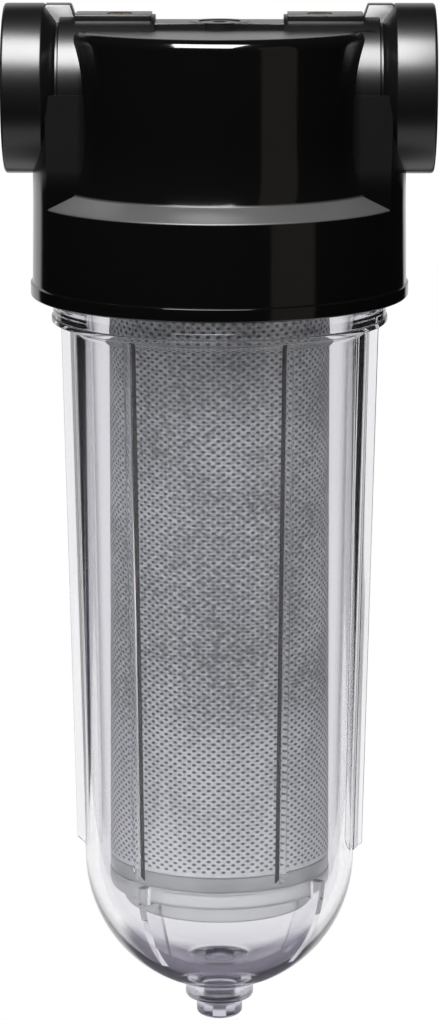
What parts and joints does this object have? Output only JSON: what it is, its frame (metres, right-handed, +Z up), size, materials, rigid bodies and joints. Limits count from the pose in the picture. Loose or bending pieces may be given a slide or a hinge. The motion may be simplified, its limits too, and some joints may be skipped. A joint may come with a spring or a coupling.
{
  "type": "centrifugal water filter",
  "caption": "Centrifugal water filter with a black two-port head, clear ribbed bowl, guide vane ring, non-woven sleeve on a windowed cage, and screwed drain and vent plugs.",
  "frame": {"origin": "where the axis of the two ports crosses the axis of the bowl", "axes": "+Z up along the bowl's axis, +X along the ports towards the outlet, -Y towards the front"},
  "size_m": [0.141, 0.1254, 0.3485],
  "materials": {
    "head_black": "glossy moulded black plastic",
    "bowl_clear": "clear moulded plastic with a faint violet tint",
    "cage_grey": "pale grey moulded plastic",
    "sleeve_felt": "embossed non-woven filter sleeve",
    "seal_rubber": "black rubber",
    "insert_brass": "turned brass"
  },
  "bodies": {
    "head": {"head_body": "head_black", "bracket_insert_left": "insert_brass", "bracket_insert_right": "insert_brass", "inlet_gasket": "seal_rubber", "outlet_gasket": "seal_rubber"},
    "cartridge": {"vane_ring": "cage_grey", "cage_collar": "cage_grey", "collar_seal": "seal_rubber", "cage": "cage_grey", "cage_cap": "cage_grey", "filter_sleeve": "sleeve_felt", "upper_clamp_ring": "cage_grey", "lower_clamp_ring": "cage_grey"},
    "bowl": {"bowl": "bowl_clear", "bowl_o_ring": "seal_rubber"},
    "drain_seal": {"drain_o_ring": "seal_rubber"},
    "drain": {"drain_plug": "bowl_clear"},
    "vent_seal": {"vent_o_ring": "seal_rubber"},
    "vent": {"vent_plug": "head_black"}
  },
  "joints": [
    {"name": "bowl_travel", "type": "slide", "parent": "head", "child": "cartridge", "axis": [0, 0, -1], "range_m": [0, 0.018]},
    {"name": "bowl_turn", "type": "hinge", "parent": "cartridge", "child": "bowl", "pos_m": [0, 0, -0.06], "axis": [0, 0, -1], "range_deg": [0, 1080]},
    {"name": "drain_travel", "type": "slide", "parent": "bowl", "child": "drain_seal", "axis": [0, 0, -1], "range_m": [0, 0.006]},
    {"name": "drain_turn", "type": "hinge", "parent": "drain_seal", "child": "drain", "pos_m": [0, 0, -0.314], "axis": [0, 0, -1], "range_deg": [0, 1080]},
    {"name": "vent_travel", "type": "slide", "parent": "head", "child": "vent_seal", "axis": [0, 0, 1], "range_m": [0, 0.0045]},
    {"name": "vent_turn", "type": "hinge", "parent": "vent_seal", "child": "vent", "pos_m": [0, 0, 0.018], "axis": [0, 0, 1], "range_deg": [0, 1080]}
  ],
  "couplings": [
    {"joint": "bowl_turn", "follows": "bowl_travel", "rad_per_m": 1047.2},
    {"joint": "drain_turn", "follows": "drain_travel", "rad_per_m": 3141.6},
    {"joint": "vent_turn", "follows": "vent_travel", "rad_per_m": 4188.8}
  ]
}
